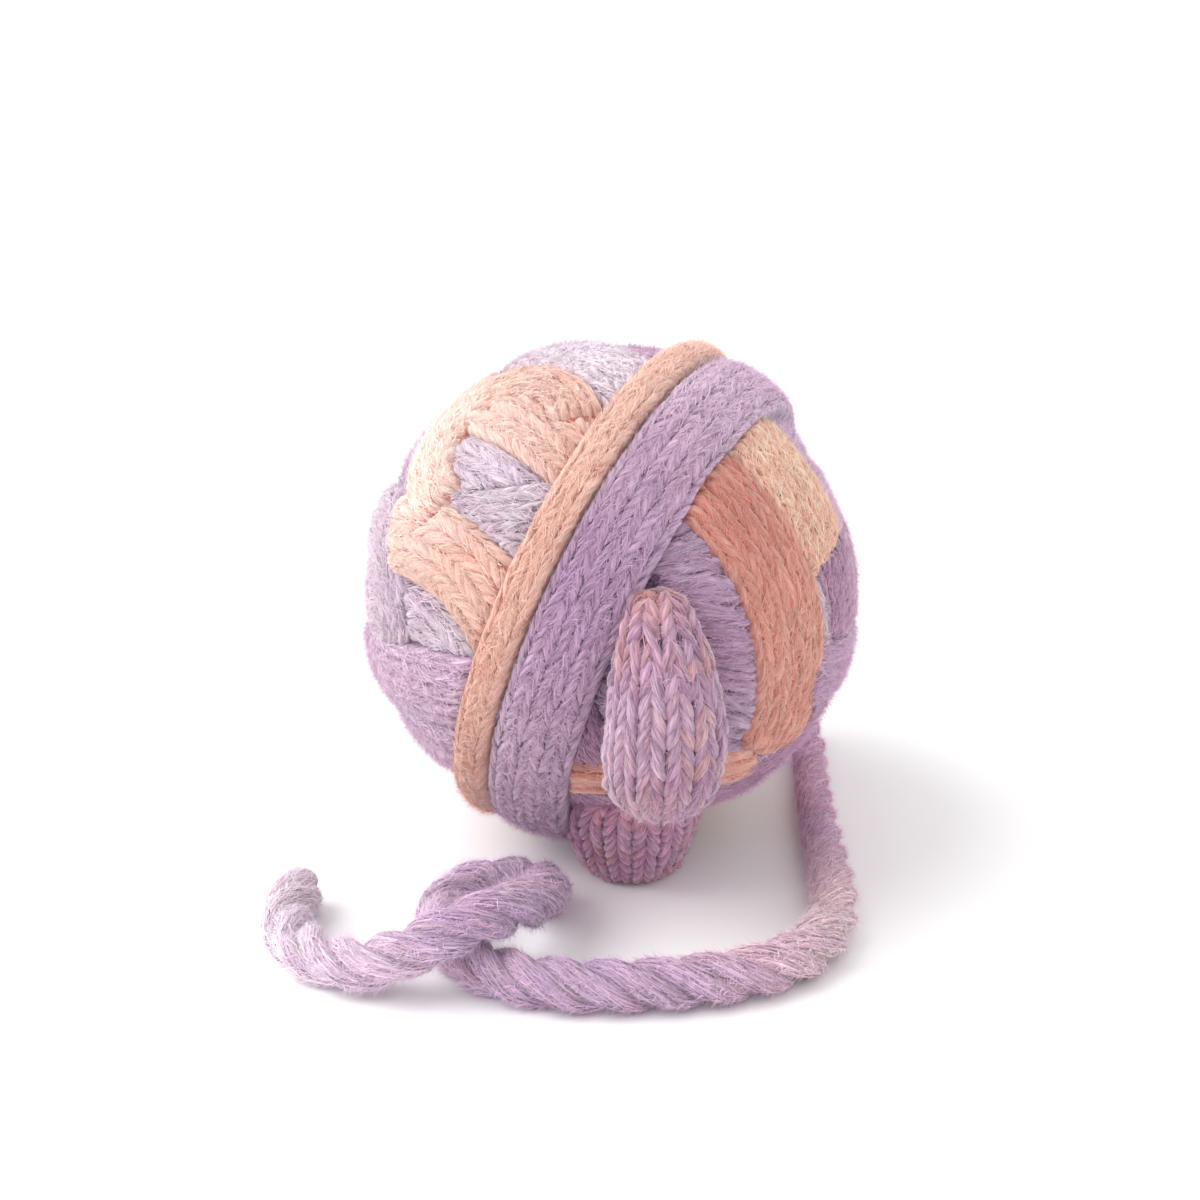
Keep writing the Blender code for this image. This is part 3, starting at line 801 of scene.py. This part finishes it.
def plant(heap, surface, yarn, spots, faces, kind, draw, seed, extra):
    """Put fibres on the surface, each from its spots, and leave out what another band covers."""
    count, size = len(spots[0][0]), len(spots)
    a, b, h = (np.stack(values, axis=1) for values in zip(*spots))
    more = [np.repeat(value, size) for value in extra]
    points, hidden = surface.points(a.ravel(), b.ravel(), h.ravel(), *more)
    seen = ~hidden.reshape(count, size).any(axis=1)
    points = points.reshape(count, size, 3)[seen]
    if not len(points):
        return
    first = np.arange(len(points))[:, None] * size
    step = -1 if surface.handed > 0 else 1
    tone = yarn_tone(yarn, points[:, size // 2], draw, seed, kind.spread)
    # Painted light: stray fibres are drawn lighter than their yarn, for the light the fuzz catches
    tone = np.clip(tone * kind.shade, 0.0, LIGHTEST)
    heap.add(points.reshape(-1, 3), [first + face[::step] for face in faces],
             np.repeat(tone, size, axis=0), np.zeros((len(points) * size, 3)))


def grid_quads(grid):
    """The four-sided faces between the rows of a grid of point numbers."""
    corners = (grid[:-1, :-1], grid[1:, :-1], grid[1:, 1:], grid[:-1, 1:])
    return np.stack(corners, axis=-1).reshape(-1, 4)


def lay_strip(heap, surface, along, across, yarn, draw, seed, extra=()):
    """The felted ground under the stitches, as a sheet over a grid of places, darkened with painted groove
    shade.
    """
    a, b = np.meshgrid(along, across, indexing="ij")
    lift = np.full(a.size, -BASE_DROP)
    points, hidden = surface.points(a.ravel(), b.ravel(), lift, *extra)
    quads = grid_quads(np.arange(a.size).reshape(a.shape))
    quads = quads[~hidden[quads].all(axis=1)]
    if surface.handed < 0:
        quads = quads[:, ::-1]
    # Painted shade: the ground is its yarn's colour darkened by the groove shade
    tone = yarn_tone(yarn, points, draw, seed, 0.0) * DEPTHS[YARNS[yarn].slot].groove
    fibre = np.column_stack((b.ravel(), a.ravel(), np.full(a.size, STRIP_LABEL)))
    heap.add(points, [quads], tone, fibre)


def wool(slot):
    """Felted wool: streaks along its fibres in colour and relief, and a soft sheen."""
    material = new_material(slot.replace("_", " ") + " wool", WOOL)
    nodes = material.node_tree.nodes
    link = material.node_tree.links.new
    shader = nodes["Principled BSDF"]
    streak = mix_streaks(nodes, link)
    link(paint(nodes, link, slot, streak), shader.inputs["Base Color"])
    bump = nodes.new("ShaderNodeBump")
    set_inputs(bump, RELIEF)
    link(streak, bump.inputs["Height"])
    link(bump.outputs["Normal"], shader.inputs["Normal"])
    return material


def hair_wool():
    """Single stray fibres: plain, pale and soft."""
    material = new_material("stray fibres", HAIR_WOOL)
    nodes = material.node_tree.nodes
    colour = nodes["Principled BSDF"].inputs["Base Color"]
    material.node_tree.links.new(read_attribute(nodes, "tone").outputs["Color"], colour)
    return material


def new_material(name, values):
    material = bpy.data.materials.new(name)
    material.use_nodes = True
    set_inputs(material.node_tree.nodes["Principled BSDF"], values)
    return material


def set_inputs(node, values):
    for name, value in values.items():
        node.inputs[name].default_value = value


def read_attribute(nodes, name):
    """A node that reads the colours or fibre directions kept in the mesh."""
    node = nodes.new("ShaderNodeAttribute")
    node.attribute_name = name
    return node


def mix_streaks(nodes, link):
    """Fine and broad streaks along the fibres, as one value."""
    fibre = read_attribute(nodes, "fibre").outputs["Vector"]
    broad = nodes.new("ShaderNodeMath")
    broad.operation = "MULTIPLY"
    link(streaks(nodes, link, fibre, BROAD_STREAK), broad.inputs[0])
    broad.inputs[1].default_value = 1.0 - FINE_SHARE
    both = nodes.new("ShaderNodeMath")
    both.operation = "MULTIPLY_ADD"
    link(streaks(nodes, link, fibre, FINE_STREAK), both.inputs[0])
    both.inputs[1].default_value = FINE_SHARE
    link(broad.outputs[0], both.inputs[2])
    return both.outputs[0]


def paint(nodes, link, slot, streak):
    """The yarn's own colour, made darker and lighter by the streaks."""
    share = nodes.new("ShaderNodeMapRange")
    set_inputs(share, STREAK_LIMITS)
    link(streak, share.inputs["Value"])
    dark, light, _ = DEPTHS[slot]
    depth = nodes.new("ShaderNodeVectorMath")
    depth.operation = "MULTIPLY_ADD"
    link(share.outputs["Result"], depth.inputs[0])
    depth.inputs[1].default_value = [high - low for low, high in zip(dark, light)]
    depth.inputs[2].default_value = dark
    colour = nodes.new("ShaderNodeVectorMath")
    colour.operation = "MULTIPLY"
    link(read_attribute(nodes, "tone").outputs["Color"], colour.inputs[0])
    link(depth.outputs["Vector"], colour.inputs[1])
    return colour.outputs["Vector"]


def streaks(nodes, link, fibre, streak):
    """Noise drawn out along the fibres."""
    stretch = nodes.new("ShaderNodeMapping")
    stretch.inputs["Scale"].default_value = streak.scale
    link(fibre, stretch.inputs["Vector"])
    noise = nodes.new("ShaderNodeTexNoise")
    set_inputs(noise, STREAK_NOISE)
    noise.inputs["Detail"].default_value = streak.detail
    link(stretch.outputs["Vector"], noise.inputs["Vector"])
    return noise.outputs["Fac"]


def make_camera():
    """A camera in front of the near arm, looking down as in the photo."""
    data = bpy.data.cameras.new("camera")
    data.sensor_width = CAMERA_SENSOR
    data.lens = CAMERA_LENS
    data.clip_start, data.clip_end = CAMERA_CLIP
    camera = bpy.data.objects.new("camera", data)
    camera.location = [value * MM for value in CAMERA_PLACE]
    camera.rotation_euler = (math.radians(90.0 - CAMERA_DOWN_DEG), 0.0, 0.0)
    bpy.context.scene.collection.objects.link(camera)
    bpy.context.scene.camera = camera


def make_rope(materials, draw):
    """The rope tail: three fat strands, the threads on them, and stray fibres."""
    surface = RopeSurface(ROPE_ROUTE)
    sunk = STRAND_OFFSET * math.sin(math.pi / ROPE_STRANDS) / STRAND_RADIUS
    edge = math.pi / ROPE_STRANDS + math.asin(sunk)
    rope = lay_strands(surface, edge, materials["variegated_yarn"], draw)
    thread_piece = lay_threads(surface, edge, materials["variegated_yarn"], draw)
    fuzz_piece = lay_rope_fuzz(surface, edge, materials["hair"], draw)


def lay_strands(surface, edge, material, draw):
    """The three strands in one closed skin, each seen as far round as its edge."""
    places = np.linspace(-edge, edge, STRAND_STEPS + 1)[:-1] * STRAND_RADIUS
    across = np.tile(places, ROPE_STRANDS)
    strand = np.repeat(np.arange(ROPE_STRANDS), STRAND_STEPS)
    rings, sides = len(surface.along), len(across)
    a = np.repeat(surface.along, sides)
    b = np.tile(across, rings)
    s = np.tile(strand, rings).astype(float)
    points, _ = surface.points(a, b, np.full(len(a), -CORE_SINK), s)
    grid = np.arange(rings * sides).reshape(rings, sides)
    beside = np.roll(grid, -1, axis=1)
    quads = np.stack((grid[:-1], beside[:-1], beside[1:], grid[1:]), axis=-1).reshape(-1, 4)
    caps = [grid[:1, ::-1], grid[-1:]]
    # Painted shade: the strands' skin under the threads is drawn darker
    tone = yarn_tone("rope", points, draw, ROPE_SEEDS.ground, 0.0) * ROPE_PAINTED_SHADE
    fibre = np.column_stack((b, a, s * STREAK_SHIFT / ROPE_STRANDS))
    rope = new_mesh("rope_tail", points, [quads] + caps, tone, fibre, material)
    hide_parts("tail_rope")
    return rope


def lay_threads(surface, edge, material, draw):
    """Raised threads, which cross each strand at a slant."""
    threads = Heap()
    along = draw.uniform(0.0, surface.length - ROPE_END_GAPS[0], THREADS)
    start = draw.uniform(-edge * THREAD_EDGE, edge * THREAD_EDGE, THREADS) * STRAND_RADIUS
    end = start + THREAD_DRIFT * THREAD.length * draw.uniform(*THREAD_DRIFTS, THREADS)
    end = np.clip(end, -edge * STRAND_RADIUS, edge * STRAND_RADIUS)
    which = draw.integers(0, ROPE_STRANDS, THREADS).astype(float)
    lay_legs(threads, LiftedRope(surface), "rope", along, start, end, THREAD.heading, THREAD,
             draw, ROPE_SEEDS.stitches, (which,))
    return threads.mesh("rope_threads", material, "variegated_yarn")


def lay_rope_fuzz(surface, edge, material, draw):
    fuzz = Heap()
    for lay, kind, seed in ((lay_hairs, HAIR, ROPE_SEEDS.hairs), (lay_down, DOWN, ROPE_SEEDS.down)):
        count = int(surface.length * ROPE_SURROUND * kind.density)
        along = draw.uniform(0.0, surface.length - ROPE_END_GAPS[1], count)
        across = draw.uniform(-edge * ROPE_FUZZ_EDGE, edge * ROPE_FUZZ_EDGE, count) * STRAND_RADIUS
        which = draw.integers(0, ROPE_STRANDS, count).astype(float)
        lay(fuzz, surface, "rope", along, across, ROPE_LEAN, draw, seed, (which,))
    return fuzz.mesh("rope_fuzz", material, "variegated_yarn")


class LiftedRope:
    """The rope's surface for threads, whose ground is the strand itself."""

    handed = RopeSurface.handed

    def __init__(self, surface):
        self.surface = surface

    def points(self, along, across, lift, strand):
        along = np.clip(along, 0.0, self.surface.length)
        raised = lift + BASE_DROP + ROOT_DROP - THREAD_SINK
        return self.surface.points(along, across, raised, strand)


def make_ball(wraps, materials, draw):
    """The wound ball: its ground, the stitches of each band, and stray fibres."""
    heaps = {}
    for place in range(len(wraps)):
        surface = WrapSurface(wraps, place)
        slot = YARNS[surface.band.yarn].slot
        layers = ("ground", "hairs", "down", "stitches_" + str(place % 2 + 1))
        ground, hairs, down, knit = [heaps.setdefault((slot, layer), Heap()) for layer in layers]
        steps = max(LEAST_STEPS, round(surface.span / STRIP_STEP))
        along = np.linspace(0.0, surface.span, steps + 1)
        across = np.sin(np.linspace(-math.pi / 2.0, math.pi / 2.0, STRIP_SIDES + 1))
        across = across * surface.half * STRIP_REACH
        lay_strip(ground, surface, along, across, surface.band.yarn, draw, BALL_SEEDS.ground + place)
        columns, slant = knit_band(knit, surface, draw, BALL_SEEDS.stitches + place)
        for lay, heap, kind, seed in ((lay_hairs, hairs, HAIR, BALL_SEEDS.hairs),
                                      (lay_down, down, DOWN, BALL_SEEDS.down)):
            along, across, leaning = place_fibres(surface, columns, slant, kind, draw)
            lay(heap, surface, surface.band.yarn, along, across, leaning, draw, seed + place)
    for (slot, layer), heap in sorted(heaps.items()):
        material = materials["hair" if layer in ("hairs", "down") else slot]
        piece = heap.mesh("ball_" + slot.replace("_yarn", "_") + layer, material, slot)
        if layer == "ground":
            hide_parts("ball")


def knit_band(heap, surface, draw, seed):
    """Knit one band, and tell its number of columns and the slant of its legs."""
    stitch = surface.band.stitch
    columns = max(1, round(2.0 * surface.half / stitch.column))
    width = 2.0 * surface.half / columns
    rows = round(surface.span / stitch.pitch)
    centre = (np.arange(columns) - (columns - 1) / 2.0) * width
    grids = np.meshgrid(np.arange(rows), centre, (-1.0, 1.0), indexing="ij")
    row, middle, side = [values.ravel() for values in grids]
    shift = 0.5 * (np.round(middle / width) % 2)
    along = (row + 0.5 + draw.normal(0.0, ROW_STRAY, len(row)) + shift) * stitch.pitch
    outer = stitch.slant * width / 2.0
    inner = LEG_GAP * width
    heading = stitch.heading
    if not heading:
        inner = -outer
        heading = side
        along += STRAND_SHIFT * side * stitch.pitch
    start = middle + side * inner
    end = middle + side * outer * (1.0 + draw.normal(0.0, COLUMN_STRAY, len(row)))
    lay_legs(heap, surface, surface.band.yarn, along, start, end, heading, stitch, draw, seed)
    return columns, math.asin(min(STEEPEST, abs(outer - inner) / stitch.length))


def place_fibres(surface, columns, slant, kind, draw):
    """Places for stray fibres all over a band, each leaning with the legs beside it."""
    heading = surface.band.stitch.heading
    width = 2.0 * surface.half / columns
    count = int(surface.span * 2.0 * surface.half * kind.density)
    across = draw.uniform(-FIBRE_EDGE, FIBRE_EDGE, count) * surface.half
    rightward = (across / width + columns / 2.0) % 1.0 < 0.5
    leaning = np.where(rightward, -slant, slant) * heading if heading else slant
    return draw.uniform(0.0, surface.span, count), across, leaning


def make_limb(limb, word, side, wraps, materials, draw):
    """A knitted arm or foot: its ground, columns of V stitches, and stray fibres."""
    name = limb.name + word
    surface = StubSurface(limb.rows, side, wraps)
    ground, knit, fuzz = Heap(), Heap(), Heap()
    whole = surface.radius(surface.fine).max()
    around = np.linspace(0.0, math.tau, LIMB_GROUND[0]) * whole
    down = np.linspace(0.0, surface.length, LIMB_GROUND[1])
    lay_strip(ground, surface, down, around, limb.yarn, draw, LIMB_SEEDS.ground, (whole,))
    down, start, end, radius = place_limb_stitches(surface, limb.columns, draw)
    lay_legs(knit, surface, limb.yarn, down, start, end, limb.heading, LIMB_STITCH, draw,
             LIMB_SEEDS.stitches, (radius,))
    area = surface.length * math.tau * whole
    for lay, kind, seed in ((lay_hairs, HAIR, LIMB_SEEDS.hairs), (lay_down, DOWN, LIMB_SEEDS.down)):
        count = int(area * kind.density * LIMB_FUZZ)
        down = draw.uniform(LIMB_END_GAP, surface.length - LIMB_END_GAP, count)
        radius = surface.radius(down)
        turn = draw.uniform(0.0, math.tau, count)
        rightward = (turn / math.tau * limb.columns) % 1.0 < 0.5
        leaning = np.where(rightward, -LIMB_LEAN, LIMB_LEAN) * limb.heading
        lay(fuzz, surface, limb.yarn, down, turn * radius, leaning, draw, seed, (radius,))
    base = ground.mesh(name + "_ground", materials["variegated_yarn"], "variegated_yarn")
    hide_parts(name)
    knit.mesh(name + "_stitches", materials["variegated_yarn"], "variegated_yarn")
    fuzz.mesh(name + "_fuzz", materials["hair"], "variegated_yarn")


def place_limb_stitches(surface, columns, draw):
    """Where each leg on a limb starts and ends, in half the columns where it narrows."""
    pitch = LIMB_STITCH.pitch
    places = []
    for row in range(int(surface.length / pitch)):
        place = (row + 0.5) * pitch
        radius = float(surface.radius(place))
        count = columns
        while count > FEWEST_COLUMNS and math.tau * radius / count < NARROWEST_COLUMN * LIMB_STITCH.column:
            count //= 2
        gap = math.tau * radius / count
        places += [(place, column * gap, flank, gap, radius)
                   for column in range(count) for flank in (-1.0, 1.0)]
    down, middle, flank, gap, radius = np.array(places).T
    down = down + draw.normal(0.0, LIMB_ROW_STRAY, len(down)) * pitch
    start, end = (middle + flank * share * gap for share in LIMB_LEG)
    return down, start, end, radius


def make_stage():
    """A pale floor, a white surround and soft studio lights."""
    scene = bpy.context.scene
    scene.view_settings.view_transform = "Standard"
    world = bpy.data.worlds.new("surround")
    world.use_nodes = True
    set_inputs(world.node_tree.nodes["Background"],
               {"Color": (1.0, 1.0, 1.0, 1.0), "Strength": SURROUND})
    scene.world = world
    mesh = bpy.data.meshes.new("floor")
    corners = [(-1, -1), (1, -1), (1, 1), (-1, 1)]
    mesh.from_pydata([(x * FLOOR_REACH, y * FLOOR_REACH, 0) for x, y in corners], [], [(0, 1, 2, 3)])
    mesh.materials.append(new_material("pale floor", FLOOR))
    floor = bpy.data.objects.new("floor", mesh)
    scene.collection.objects.link(floor)
    data = bpy.data.lights.new("key", "SUN")
    data.energy = KEY_STRENGTH
    data.angle = math.radians(KEY_SPREAD_DEG)
    key = bpy.data.objects.new("key", data)
    key.rotation_euler = Vector(KEY_FROM).to_track_quat("Z", "Y").to_euler()
    scene.collection.objects.link(key)


def main():
    draw = np.random.default_rng(SEED)
    make_camera()
    materials = {slot: wool(slot) for slot in DEPTHS}
    materials["hair"] = hair_wool()
    make_rope(materials, draw)
    wraps = list_wraps()
    make_ball(wraps, materials, draw)
    for word, side in (("left", -1.0), ("right", 1.0)):
        for limb in LIMBS:
            make_limb(limb, word, side, wraps, materials, draw)
    make_stage()


main()
